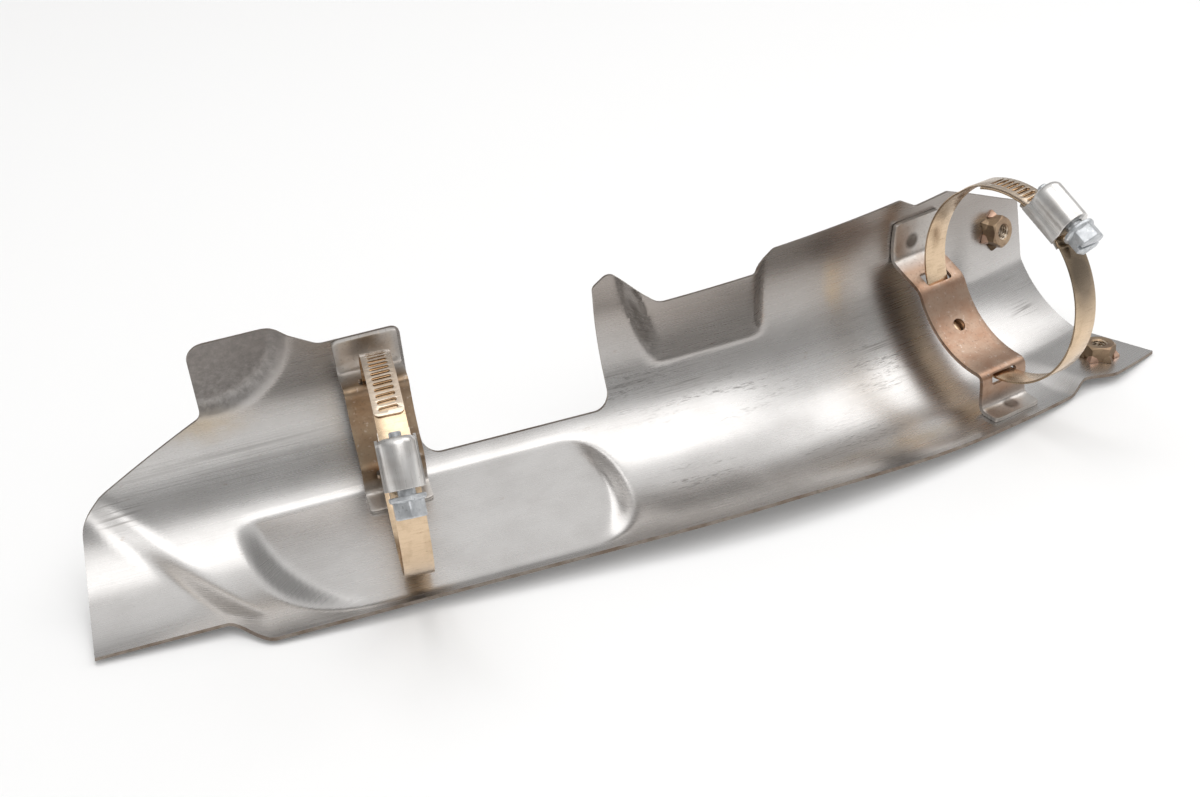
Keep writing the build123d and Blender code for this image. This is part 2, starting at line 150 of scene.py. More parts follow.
# round body: a disc that is extruded and scaled from row to row (radius, height)
def turned(rows, sides):
    radius, height = rows[0]
    piece = addPrimitive("circle", vertices=sides, radius=radius, fill_type="NGON", location=(0, 0, height))
    bpy.ops.object.transform_apply()
    bpy.ops.object.mode_set(mode="EDIT")
    bpy.ops.mesh.select_all(action="SELECT")
    for nextRadius, nextHeight in rows[1:]:
        bpy.ops.mesh.extrude_region_move(TRANSFORM_OT_translate={"value": (0, 0, nextHeight - height)})
        share = nextRadius / radius
        bpy.ops.transform.resize(value=(share, share, 1), center_override=(0, 0, nextHeight))
        radius, height = nextRadius, nextHeight
    bpy.ops.object.mode_set(mode="OBJECT")
    faceOutward(piece)
    return piece


def rod(radius, low, high):
    return turned([(radius, low), (radius, high)], roundSides)


def hexCorner(across):
    return across / 2 / cos(radians(30))


# worm or nut thread raised on the rows of a round body
threadFlank = {"steepness": 1.8, "cut": 0.4}


def raiseThread(piece, root, depth, pitch, low, high):
    for vertex in piece.data.vertices:
        spot = vertex.co
        radius = hypot(spot.x, spot.y)
        if not (low < spot.z < high and abs(radius - root) < slack):
            continue
        turn = spot.z / pitch - atan2(spot.y, spot.x) / (2 * pi)
        crest = 1 - abs(2 * (turn % 1) - 1)
        flank = min(max(threadFlank["steepness"] * crest - threadFlank["cut"], 0), 1)
        fade = min((spot.z - low) / pitch, (high - spot.z) / pitch, 1)
        share = 1 + depth / root * flank * fade
        vertex.co = (spot.x * share, spot.y * share, spot.z)


def bevelEdges(piece, chosen, width, segments):
    onlyActive(piece)
    bpy.ops.object.mode_set(mode="EDIT")
    bpy.ops.mesh.select_mode(type="EDGE")
    bpy.ops.mesh.select_all(action="DESELECT")
    bpy.ops.object.mode_set(mode="OBJECT")
    for edge in piece.data.edges:
        ends = [piece.data.vertices[index].co for index in edge.vertices]
        edge.select = chosen(ends[0], ends[1])
    bpy.ops.object.mode_set(mode="EDIT")
    bpy.ops.mesh.bevel(offset=width, segments=segments, affect="EDGES")
    bpy.ops.mesh.select_mode(type="VERT")
    bpy.ops.object.mode_set(mode="OBJECT")


def upright(first, last):
    return abs(first.x - last.x) < tiny and abs(first.y - last.y) < tiny


def easeEdges(piece, width, angle=edgeAngle):
    applyModifier(
        piece, "BEVEL", width=width, segments=2, limit_method="ANGLE", angle_limit=radians(angle))


def dress(piece, material):
    piece.data.materials.clear()
    piece.data.materials.append(material)


def setUv(piece, name, rule):
    layers = piece.data.uv_layers
    layer = layers.active or layers.new()
    layer.name = name
    for loop in piece.data.loops:
        layer.data[loop.index].uv = rule(piece.data.vertices[loop.vertex_index].co)


# a copy of a finished form, with its own mesh, at a plane of the object
def putAt(form, name, plane):
    piece = bpy.data.objects.new(name, form.data.copy())
    scene.collection.objects.link(piece)
    piece.data.transform(toMetres @ plane)
    return piece


def settle(piece, body, node):
    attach(piece, body)
    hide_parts(node)


# corner points of an outline, with each corner that has a radius turned into an arc
def roundedOutline(corners, steps):
    outline = []
    for index, (x, y, radius) in enumerate(corners):
        corner = Vector((x, y, 0))
        if radius == 0:
            outline.append(corner)
            continue
        toLast = (Vector((*corners[index - 1][:2], 0)) - corner).normalized()
        toNext = (Vector((*corners[(index + 1) % len(corners)][:2], 0)) - corner).normalized()
        half = toLast.angle(toNext) / 2
        centre = corner + (toLast + toNext).normalized() * radius / sin(half)
        first = (corner + toLast * radius / tan(half) - centre).normalized()
        last = (corner + toNext * radius / tan(half) - centre).normalized()
        for step in range(steps + 1):
            outline.append(centre + first.slerp(last, step / steps) * radius)
    return outline


def roundedBox(x, y, length, width, radius, steps):
    signs = ((-1, -1), (1, -1), (1, 1), (-1, 1))
    return roundedOutline([(x + a * length / 2, y + b * width / 2, radius) for a, b in signs], steps)


# material tools

def newMaterial(name, colour, metallic, roughness):
    material = bpy.data.materials.new(name)
    material.use_nodes = True
    shader = material.node_tree.nodes["Principled BSDF"]
    shader.inputs["Base Color"].default_value = (*colour, 1)
    shader.inputs["Metallic"].default_value = metallic
    shader.inputs["Roughness"].default_value = roughness
    return material, shader


def addNode(material, kind, settings=None, **sockets):
    node = material.node_tree.nodes.new("ShaderNode" + kind)
    for key, value in (settings or {}).items():
        setattr(node, key, value)
    for key, value in sockets.items():
        socket = node.inputs[int(key[2:])] if key.startswith("at") else node.inputs[key]
        if isinstance(value, bpy.types.NodeSocket):
            material.node_tree.links.new(value, socket)
        else:
            socket.default_value = value
    return node


def plug(material, source, target):
    material.node_tree.links.new(source, target)


def surfaceOf(material, uvName=None):
    if uvName:
        return addNode(material, "UVMap", {"uv_map": uvName}).outputs["UV"]
    return addNode(material, "TexCoord").outputs["Object"]


def noiseOf(material, surface, scale, detail, rough, turn=0, seed=0):
    mapping = addNode(
        material, "Mapping", Vector=surface, Scale=scale,
        Rotation=(0, 0, radians(turn)), Location=(seed, seed, seed))
    node = addNode(
        material, "TexNoise", Vector=mapping.outputs["Vector"], Scale=1.0, Detail=detail, Roughness=rough)
    return node.outputs["Fac"]


def stretch(material, value, low, high, toLow=0.0, toHigh=1.0):
    return addNode(material, "MapRange", None, at0=value, at1=low, at2=high, at3=toLow, at4=toHigh).outputs[0]


# roughness that follows a noise, a little below and above the finish's own
def roughOf(material, finish, roughness, value):
    ends = (roughness - finish["smoother"], roughness + finish["rougher"])
    return stretch(material, value, *finish["roughFrom"], *ends)


def axisOf(material, vector, axis):
    return addNode(material, "SeparateXYZ", Vector=vector).outputs[axis]


def calculate(material, operation, first, second):
    return addNode(material, "Math", {"operation": operation}, at0=first, at1=second).outputs[0]


def multiply(material, first, second):
    return calculate(material, "MULTIPLY", first, second)


def mixColour(material, share, first, second):
    node = addNode(material, "Mix", {"data_type": "RGBA"}, at0=share)
    for index, value in ((6, first), (7, second)):
        if isinstance(value, bpy.types.NodeSocket):
            plug(material, value, node.inputs[index])
        else:
            node.inputs[index].default_value = (*value, 1)
    return node.outputs[2]


# soft round patch on a surface: 1 in its middle, 0 outside; lengths in mm
def patchOf(material, surface, centre, reach, soft):
    scale = (1 / (reach[0] * mm), 1 / (reach[1] * mm), 0)
    shift = (-centre[0] / reach[0], -centre[1] / reach[1], 0)
    mapping = addNode(material, "Mapping", Vector=surface, Scale=scale, Location=shift)
    distance = addNode(material, "VectorMath", {"operation": "LENGTH"}, at0=mapping.outputs["Vector"])
    return stretch(material, distance.outputs["Value"], 1 - soft, 1, 1, 0)


# short calls for one finish: its noise patterns (scale, detail, roughness, turn, seed),
# its levels (from, to, what these become) and one of its tones laid over a colour
def brushOf(material, surface, finish):
    noise = {name: noiseOf(material, surface, *row) for name, row in finish["noise"].items()}

    def level(name, value):
        return stretch(material, value, *finish["levels"][name])

    def lay(colour, share, tone):
        return mixColour(material, share, colour, finish[tone])

    return noise, level, lay


def connect(material, shader, colour, rough, height, bump):
    plug(material, colour, shader.inputs["Base Color"])
    plug(material, rough, shader.inputs["Roughness"])
    relief = addNode(material, "Bump", Strength=bump[0], Distance=bump[1], Height=height)
    plug(material, relief.outputs["Normal"], shader.inputs["Normal"])
    return material


# steel with grain, clouded stains and fine pits
drawnFinish = {
    "noise": {"clouds": ((160, 160, 160), 3, 0.55), "pits": ((1900, 1900, 1900), 2, 0.5)},
    "levels": {"clouds": (0.42, 0.68), "lines": (0.52, 0.76, 0, 0.6), "pits": (0.66, 0.74, 0, 0.55)},
    "grainDetail": (4, 0.7), "darkShare": 0.62,
    "roughFrom": (0.3, 0.7), "smoother": 0.07, "rougher": 0.1, "bump": (0.15, 0.00005),
}


def drawnSteel(name, colour, stain, roughness, grain, uvName=None):
    finish = drawnFinish
    material, shader = newMaterial(name, colour, 1.0, roughness)
    surface = surfaceOf(material, uvName)
    noise, level = brushOf(material, surface, finish)[:2]
    lines = noiseOf(material, surface, grain, *finish["grainDetail"])
    dark = tuple(finish["darkShare"] * channel for channel in stain)
    tone = mixColour(material, level("clouds", noise["clouds"]), colour, stain)
    tone = mixColour(material, level("lines", lines), tone, dark)
    tone = mixColour(material, level("pits", noise["pits"]), tone, dark)
    rough = roughOf(material, finish, roughness, lines)
    height = calculate(material, "ADD", lines, noise["pits"])
    return connect(material, shader, tone, rough, height, finish["bump"])


# pressed sheet
sheetForm = {
    "sheet": 1.0, "troughRadius": 38.5, "wallTangent": 46.0,
    "farAngle": 100.0, "nearAngle": -74.0, "start": -96.0, "end": 243.0,
    "alongSteps": 240, "aroundSteps": 88, "smooth": 32,
}
neckForm = {
    "step": 3.6, "line": -69.0, "slope": -0.49, "turn": -55.0, "run": 12.0,
    "rimRise": 13.5, "rimStart": -42.0,
}
flareForm = {"depth": 2.4, "angle": -50.0, "start": 100.0, "run": 70.0}
padForm = {
    "middle": -38.0, "half": 30.0, "start": -46.0, "startRun": 7.0, "startSlope": 0.0, "sweep": 34.0,
    "end": 64.0, "endRun": 7.5, "endSweep": 13.0,
}
pocketForm = {
    "middle": 44.0, "half": 31.0, "start": 74.5, "startRun": 6.5, "startSlope": -0.15, "sweep": 0.0,
    "end": 124.0, "endRun": 7.0, "endSweep": 0.0,
}
dishForm = {"depth": 2.6, "along": -43.0, "rise": 52.0, "length": 24.0, "height": 26.0, "run": 0.2}
nutFlats = {
    "run": 8.0, "upperLength": 38.0, "upperMiddle": 22.0, "upperHalf": 20.0,
    "lowerLength": 37.0, "lowerMiddle": -60.0, "lowerHalf": 18.0,
    "tabDrop": 7.0, "tabLength": 30.0, "tabRun": 11.0,
}
trough = sheetForm["troughRadius"]


# depth of a flat that cuts across the round trough
def flatDepth(off, half):
    return trough * (1 - cos(radians(half)) / cos(radians(min(off, half))))


# a form's own stretch along the pipe, with a soft slope at each end
def stretchShare(form, along, angle):
    drop = min(max((form["middle"] + form["half"] - angle) / (2 * form["half"]), 0), 1)
    edge = form["start"] + form["startSlope"] * (angle - form["middle"])
    edge += form["sweep"] * (1 - sqrt(1 - drop ** 2))
    share = ramp(along, edge, edge + form["startRun"])
    aside = min(abs(angle - form["middle"]) / form["half"], 1)
    end = form["end"] - form["endSweep"] * (1 - sqrt(1 - aside ** 2))
    return share * ramp(along, end, end - form["endRun"])


def pressIn(along, angle):
    neckEdge = neckForm["line"] + neckForm["slope"] * max(angle, neckForm["turn"])
    depth = neckForm["step"] * ramp(along, neckEdge, neckEdge - neckForm["run"])
    for form in (padForm, pocketForm):
        depth += flatDepth(abs(angle - form["middle"]), form["half"]) * stretchShare(form, along, angle)
    rise = radians(angle) * trough
    aside = (along - dishForm["along"]) / dishForm["length"]
    above = (rise - dishForm["rise"]) / dishForm["height"]
    depth -= dishForm["depth"] * ramp(hypot(aside, above), 1, 1 - dishForm["run"])
    upperStart = sheetForm["end"] - nutFlats["upperLength"]
    upper = flatDepth(abs(angle - nutFlats["upperMiddle"]), nutFlats["upperHalf"])
    depth += upper * ramp(along, upperStart, upperStart + nutFlats["run"])
    near = -flareForm["depth"] * ramp(angle, flareForm["angle"], sheetForm["nearAngle"])
    near *= ramp(along, flareForm["start"], flareForm["start"] + flareForm["run"])
    lowerStart = sheetForm["end"] - nutFlats["lowerLength"]
    lower = flatDepth(angle - nutFlats["lowerMiddle"], nutFlats["lowerHalf"])
    near += (lower - near) * ramp(along, lowerStart, lowerStart + nutFlats["run"])
    return depth + near


def wallPoint(along, angle, growth):
    turn = min(angle, sheetForm["wallTangent"])
    straight = radians(angle - turn) * trough
    spot = polar(trough + growth - pressIn(along, angle), turn)
    return spot + Vector((straight * cos(radians(turn)), straight * sin(radians(turn)), 0))


def nearRim(along):
    neck = neckForm["rimRise"] * ramp(along, neckForm["rimStart"], neckForm["rimStart"] - neckForm["run"])
    tabStart = sheetForm["end"] - nutFlats["tabLength"]
    tab = nutFlats["tabDrop"] * ramp(along, tabStart, tabStart + nutFlats["tabRun"])
    return sheetForm["nearAngle"] + neck - tab


# outline of the far edge: place along, height in the leaned plane, corner radius
trimForm = {
    "lean": 25.0, "reach": 200.0, "cornerSteps": 8,
    "corners": (
        (-117.8, -200.0, 0), (-85.5, -10.0, 9.0), (-79.5, -6.0, 5.0), (-47.3, 10.5, 2.5),
        (-47.3, 33.6, 5.0), (-24.0, 33.6, 9.0), (-12.0, 25.4, 5.0), (10.5, 25.4, 2.5),
        (10.5, -16.5, 5.0), (65.5, -16.5, 5.0), (65.5, 21.5, 2.5), (70.5, 25.5, 2.5),
        (83.0, 13.3, 5.0), (115.5, 13.3, 2.5), (120.5, 17.3, 2.5), (164.0, 17.3, 2.5),
        (170.0, 12.8, 2.5), (182.0, 12.8, 2.5), (214.0, -5.0, 2.5), (244.0, -5.0, 2.5),
        (244.0, -200.0, 0),
    ),
}


def trimCutter():
    reach = trimForm["reach"]
    cutter = prism(roundedOutline(trimForm["corners"], trimForm["cornerSteps"]), -reach, reach)
    cutter.data.transform(toMetres @ restPlace @ turnBy(trimForm["lean"], "X"))
    return cutter


# weld nuts: sizes, then place along the pipe, turn on the seat, seat in the object, way into the trough
nutForm = {
    "across": 9.0, "height": 4.5, "edge": 0.25, "edgeSteps": 2, "chamfer": 0.75, "smooth": 30,
    "coneMargin": 1.0, "coneCorner": 0.05, "coneFace": 0.15, "coneTip": 2.0, "coneOver": 0.2, "coneSides": 48,
    "footReach": 1.35, "footWidth": 2.0, "footRise": 2.4, "footTop": 0.4,
    "footTaper": 0.95, "footEdge": 0.5, "footBack": 1.05,
    "collar": 2.9, "collarTop": 0.5, "sheetHole": 3.0, "drillFrom": -6, "drillTo": 3,
    "bore": 2.15, "threadDepth": 0.4, "pitch": 0.8, "tapFrom": -1.6, "tapOver": 0.6, "tapRows": 60,
    "sinkDepth": 0.5, "sinkWide": 0.9, "sinkOver": 0.4,
}
nutSeats = {
    "upper": {
        "along": 226.0, "turn": 23.0,
        "seat": (128.526, 43.232, 33.883), "inward": (0.4581, -0.87569, 0.15265),
    },
    "lower": {
        "along": 229.0, "turn": 10.0,
        "seat": (146.029, 7.580, 2.777), "inward": (0.09062, 0.06177, 0.99397),
    },
}


def nutPlane(seat):
    ahead = pipeSection(seat["along"]).col[2].to_3d()
    return planeAt(Vector(seat["seat"]), ahead, Vector(seat["inward"]))


def makeShield(sheetMaterial, edgeMaterial):
    shield = addPrimitive(
        "grid", x_subdivisions=sheetForm["alongSteps"], y_subdivisions=sheetForm["aroundSteps"], size=1)
    shield.name = "shieldSheet"
    spots = {}
    for vertex in shield.data.vertices:
        along = sheetForm["start"] + (vertex.co.x + 0.5) * (sheetForm["end"] - sheetForm["start"])
        rim = nearRim(along)
        angle = rim + (vertex.co.y + 0.5) * (sheetForm["farAngle"] - rim)
        spots[vertex.index] = (along * mm, radians(angle) * trough * mm)
        vertex.co = (pipeSection(along) @ wallPoint(along, angle, 0)) * mm
    uvLayer = shield.data.uv_layers.active
    uvLayer.name = "sheetUv"
    for loop in shield.data.loops:
        uvLayer.data[loop.index].uv = spots[loop.vertex_index]
    shield.data.materials.append(sheetMaterial)
    shield.data.materials.append(edgeMaterial)
    applyModifier(shield, "SOLIDIFY", thickness=sheetForm["sheet"] * mm, offset=-1, material_offset_rim=1)
    cutWith(shield, trimCutter(), "INTERSECT", edgeMaterial)
    for seat in nutSeats.values():
        drill = rod(nutForm["sheetHole"], nutForm["drillFrom"], nutForm["drillTo"])
        drill.data.transform(toMetres @ nutPlane(seat))
        cutWith(shield, drill, material=edgeMaterial)
    smoothByAngle(shield, sheetForm["smooth"])
    return shield


# finish of the sheet: drawn lines, short streaks, crossing scratches, stains and the grainy dish;
# patches as softness, then centre and reach of each, along and round the trough in mm
sheetFinish = {
    "steel": (0.6, 0.585, 0.572), "cloud": (0.53, 0.514, 0.5), "dark": (0.2, 0.185, 0.175),
    "gold": (0.56, 0.45, 0.31), "brown": (0.3, 0.2, 0.13), "grain": (0.22, 0.205, 0.195),
    # rimDark: the colour the far wall turns darker to near its rim
    "rimDark": (0.31, 0.275, 0.25), "dishSoft": 0.12, "bump": (0.14, 0.00005),
    "roughness": 0.27, "roughFrom": (0.3, 0.75), "smoother": 0.015, "rougher": 0.04,
    "noise": {
        "clouds": ((45, 60, 1), 4, 0.6), "lines": ((18, 2000, 1), 4, 0.72),
        "speckle": ((1500, 1500, 1), 3, 0.6), "grooves": ((9, 650, 1), 3, 0.6, 0, 3.1),
        "streaks": ((420, 3600, 1), 2, 0.5, 2, 7.7), "streakRows": ((34, 480, 1), 2, 0.5, 3, 1.9),
        "risingScuffs": ((35, 1500, 1), 3, 0.6, 52, 4.4), "fallingScuffs": ((30, 1300, 1), 3, 0.6, -34, 9.2),
        "stains": ((260, 420, 1), 4, 0.65, 0, 5.3), "mottle": ((520, 520, 1), 5, 0.75, 0, 2.2),
    },
    "levels": {
        "lined": (0, 1, 0.04, 1), "lines": (0.5, 0.74), "grooves": (0.55, 0.68), "clouds": (0.4, 0.68),
        "rimDarkShift": (0.02, 0.09, 0, 0.02), "rimDark": (0.016, 0.046, 0, 0.82),
        "streaks": (0.53, 0.64), "streakRows": (0.46, 0.58), "scuffs": (0.58, 0.68), "tint": (0.35, 0.6),
        "stains": (0.68, 0.78, 0, 0.4), "mottle": (0.34, 0.62, 0.35, 1), "speckle": (0.62, 0.75, 0, 0.22),
    },
    "strength": {
        "lines": 0.55, "grooves": 0.4, "streaks": 0.7, "scuffs": 0.65, "tint": 0.6, "mottle": 0.85,
        "dishRough": 0.12, "scuffRough": 0.1, "lineHeight": -0.6, "speckleHeight": 0.4,
    },
    "patches": {
        "lines": (
            0.7, ((-45, 10), (42, 10)), ((-75, -40), (18, 7)), ((-10, -48), (70, 4)), ((68, 8), (20, 7))),
        "gold": (0.8, ((151, 18), (5, 12)), ((-47, 24), (17, 7)), ((150, -40), (30, 5))),
        "scuffs": (
            0.7, ((-75, 6), (8, 9)), ((166, -4), (16, 16)), ((230, -10), (10, 14)), ((92, 4), (26, 7))),
        "streaks": (
            0.6, ((74, 4), (22, 9)), ((103, -6), (34, 8)), ((82, -27), (22, 7)),
            ((134, -31), (26, 8)), ((160, -12), (18, 12))),
    },
}


def patchesOf(material, surface, soft, first, *others):
    total = patchOf(material, surface, *first, soft)
    for patch in others:
        total = calculate(material, "MAXIMUM", total, patchOf(material, surface, *patch, soft))
    return total


def makeSheetFinish():
    finish = sheetFinish
    material, shader = newMaterial("satinSheet", finish["steel"], 1.0, finish["roughness"])
    surface = surfaceOf(material, "sheetUv")
    noise, level, lay = brushOf(material, surface, finish)
    patches = {name: patchesOf(material, surface, *row) for name, row in finish["patches"].items()}

    def times(first, second):
        return multiply(material, first, second)

    def plus(first, second):
        return calculate(material, "ADD", first, second)

    def weaken(name, value):
        return times(value, finish["strength"][name])

    lined = level("lined", patches["lines"])
    marked = times(lined, level("lines", noise["lines"]))
    grooves = times(lined, level("grooves", noise["grooves"]))
    colour = mixColour(material, level("clouds", noise["clouds"]), finish["steel"], finish["cloud"])
    colour = lay(colour, weaken("lines", marked), "dark")
    colour = lay(colour, weaken("grooves", grooves), "dark")
    # the far wall's colour is darker towards its rim, and sooner further along; levels in metres
    shift = level("rimDarkShift", axisOf(material, surface, "X"))
    colour = lay(colour, level("rimDark", plus(axisOf(material, surface, "Y"), shift)), "rimDark")
    # short dark streaks in rows
    streaks = times(level("streaks", noise["streaks"]), level("streakRows", noise["streakRows"]))
    streaks = times(streaks, patches["streaks"])
    colour = lay(colour, weaken("streaks", streaks), "dark")
    # scratches that cross the drawing direction
    rising, falling = level("scuffs", noise["risingScuffs"]), level("scuffs", noise["fallingScuffs"])
    scuffs = times(calculate(material, "MAXIMUM", rising, falling), patches["scuffs"])
    colour = lay(colour, weaken("scuffs", scuffs), "dark")
    # heat tint and small brown stains
    tint = times(patches["gold"], level("tint", noise["clouds"]))
    colour = lay(colour, weaken("tint", tint), "gold")
    colour = lay(colour, level("stains", noise["stains"]), "brown")
    # grainy dish
    centre, reach = (dishForm["along"], dishForm["rise"]), (dishForm["length"], dishForm["height"])
    dish = patchOf(material, surface, centre, reach, finish["dishSoft"])
    mottle = times(dish, level("mottle", noise["mottle"]))
    colour = lay(colour, weaken("mottle", mottle), "grain")
    colour = lay(colour, level("speckle", noise["speckle"]), "dark")
    rough = roughOf(material, finish, finish["roughness"], noise["lines"])
    rough = plus(plus(rough, weaken("dishRough", dish)), weaken("scuffRough", scuffs))
    height = plus(weaken("lineHeight", marked), weaken("speckleHeight", noise["speckle"]))
    height = calculate(material, "SUBTRACT", height, plus(streaks, scuffs))
    return connect(material, shader, colour, rough, height, finish["bump"])


sheetSteel = makeSheetFinish()
edgeSteel = drawnSteel("brownedEdge", (0.3, 0.26, 0.225), (0.2, 0.15, 0.115), 0.42, (700, 700, 700))
shieldSheet = makeShield(sheetSteel, edgeSteel)
settle(shieldSheet, "shield", "heat_shield")
print("shield pressed:", len(shieldSheet.data.polygons), "faces")

# clamps: where the ring stands, where the inner layer starts, the tail ends and the worm sits
bandForm = {
    "width": 8.0, "sheet": 0.6, "layerGap": 0.15, "liftAngle": 14.0, "leadAngle": 4.0,
    "tailCorner": 1.5, "tailSteps": 5, "pitch": 1.2, "rows": 2, "edge": 0.07, "smooth": 40,
    "slotCount": 14, "slotPitch": 2.0, "slotLength": 5.2, "slotWidth": 1.25, "slotSlant": 4.0,
    "slotSteps": 4, "slotReach": 2,
}
clampPlaces = {"left": 0.5, "right": 187.0}
leftLean = {"shift": -1.15, "aboutX": -2.3, "aboutY": -2.6}
leftShift = Matrix.Translation((0, 0, leftLean["shift"]))
leftTilt = turnBy(leftLean["aboutX"], "X") @ turnBy(leftLean["aboutY"], "Y")
clamps = {
    "left": {
        "ring": pipeSection(clampPlaces["left"]) @ leftShift @ leftTilt, "radius": 29.6,
        "tongue": 116.0, "tail": 156.0, "firstSlot": 152.5, "worm": 180.0,
    },
    "right": {
        "ring": pipeSection(clampPlaces["right"]), "radius": 28.8,
        "tongue": 104.0, "tail": 163.5, "firstSlot": 159.7, "worm": 152.0,
    },
}


def flatStrip(length, width, sheet, pitch, rows):
    strip = addPrimitive("grid", x_subdivisions=round(length / pitch), y_subdivisions=rows, size=1)
    for vertex in strip.data.vertices:
        vertex.co = ((vertex.co.x + 0.5) * length, vertex.co.y * width, 0)
    applyModifier(strip, "SOLIDIFY", thickness=sheet, offset=0)
    faceOutward(strip)
    return strip


# picks the upright edges at a flat strip's corners, outside the given stretch of it
def stripCorners(low, high, width):
    def chosen(first, last):
        return upright(first, last) and not low < first.x < high and abs(first.y) > width / 2 - tiny
    return chosen


def stripSpot(spot):
    return (spot.x * mm, spot.y * mm)


def makeBand(side, clamp):
    form = bandForm
    inner = clamp["radius"] + form["sheet"] / 2
    outer = inner + form["sheet"] + form["layerGap"]
    perDegree = radians(1) * outer
    length = (clamp["tail"] + 360 - clamp["tongue"]) * perDegree
    band = flatStrip(length, form["width"], form["sheet"], form["pitch"], form["rows"])
    band.name = side + "Band"
    tailOnly = stripCorners(-tiny, length - tiny, form["width"])
    bevelEdges(band, tailOnly, form["tailCorner"], form["tailSteps"])
    slotRound = form["slotWidth"] / 2 - slack
    outline = roundedBox(0, 0, form["slotWidth"], form["slotLength"], slotRound, form["slotSteps"])
    slot = prism(outline, -form["slotReach"], form["slotReach"])
    slot.data.transform(turnBy(form["slotSlant"], "Z"))
    lastSlot = (clamp["firstSlot"] + 360 - clamp["tongue"]) * perDegree
    slot.data.transform(Matrix.Translation((lastSlot, 0, 0)))
    applyModifier(
        slot, "ARRAY", count=form["slotCount"], use_relative_offset=False, use_constant_offset=True,
        constant_offset_displace=(-form["slotPitch"], 0, 0))
    cutWith(band, slot)
    easeEdges(band, form["edge"])
    setUv(band, "stripUv", stripSpot)
    liftEnd = clamp["tongue"] + 360 - form["leadAngle"]
    for vertex in band.data.vertices:
        angle = clamp["tongue"] + vertex.co.x / perDegree
        radius = inner + (outer - inner) * ramp(angle, liftEnd - form["liftAngle"], liftEnd) + vertex.co.z
        vertex.co = (clamp["ring"] @ (polar(radius, angle) + Vector((0, 0, vertex.co.y)))) * mm
    smoothByAngle(band, form["smooth"])
    return band, length


# saddles: sizes, then place along the pipe, angles of the arc and of both flanges, and the hole in the arc
saddleForm = {
    "width": 18.0, "sheet": 1.2, "lift": 0.65, "arcRadius": 27.6, "corner": 3.0, "cornerSteps": 6,
    "hole": 2.0, "drillReach": 3, "edge": 0.12, "smooth": 40, "rows": 8, "stripPitch": 0.7,
    "windowWidth": 10.0, "windowCorner": 0.9, "windowSteps": 4, "windowIn": 0.65, "windowOut": 2.9,
    "pitch": 0.3, "flangeSteps": 8, "arcSteps": 40, "softReach": 5, "softRounds": 2,
}
saddles = {
    "left": {
        "along": clampPlaces["left"], "arc": (1.5, 51.5), "high": (46.0, 64.5), "low": (-20.5, -9.5),
        "hole": 25.5,
    },
    "right": {
        "along": clampPlaces["right"], "arc": (-59.0, 11.0), "high": (25.5, 44.5), "low": (-68.5, -59.0),
        "hole": -17.0,
    },
}


def flangePoint(saddle, angle):
    if saddle["along"] < padForm["end"] and angle < 0:
        middle, half = padForm["middle"], padForm["half"]
        return polar((trough * cos(radians(half)) - saddleForm["lift"]) / cos(radians(angle - middle)), angle)
    return wallPoint(saddle["along"], angle, -saddleForm["lift"])


def spread(first, last, count):
    return [first + (last - first) * step / count for step in range(count + 1)]


# evenly spaced points on a line of corners, then the corners eased into bends
def saddlePath(saddle):
    form = saddleForm
    corners = [flangePoint(saddle, angle) for angle in spread(*saddle["low"], form["flangeSteps"])]
    corners += [polar(form["arcRadius"], angle) for angle in spread(*saddle["arc"], form["arcSteps"])]
    corners += [flangePoint(saddle, angle) for angle in spread(*saddle["high"], form["flangeSteps"])]
    points = [corners[0]]
    for start, end in zip(corners, corners[1:]):
        count = max(round((end - start).length / form["pitch"]), 1)
        points += [start.lerp(end, step / count) for step in range(1, count + 1)]
    for easing in range(form["softRounds"]):
        eased = []
        for index in range(len(points)):
            reach = min(form["softReach"], index, len(points) - 1 - index)
            near = points[index - reach:index + reach + 1]
            eased.append(sum(near, Vector()) / len(near))
        points = eased
    return points


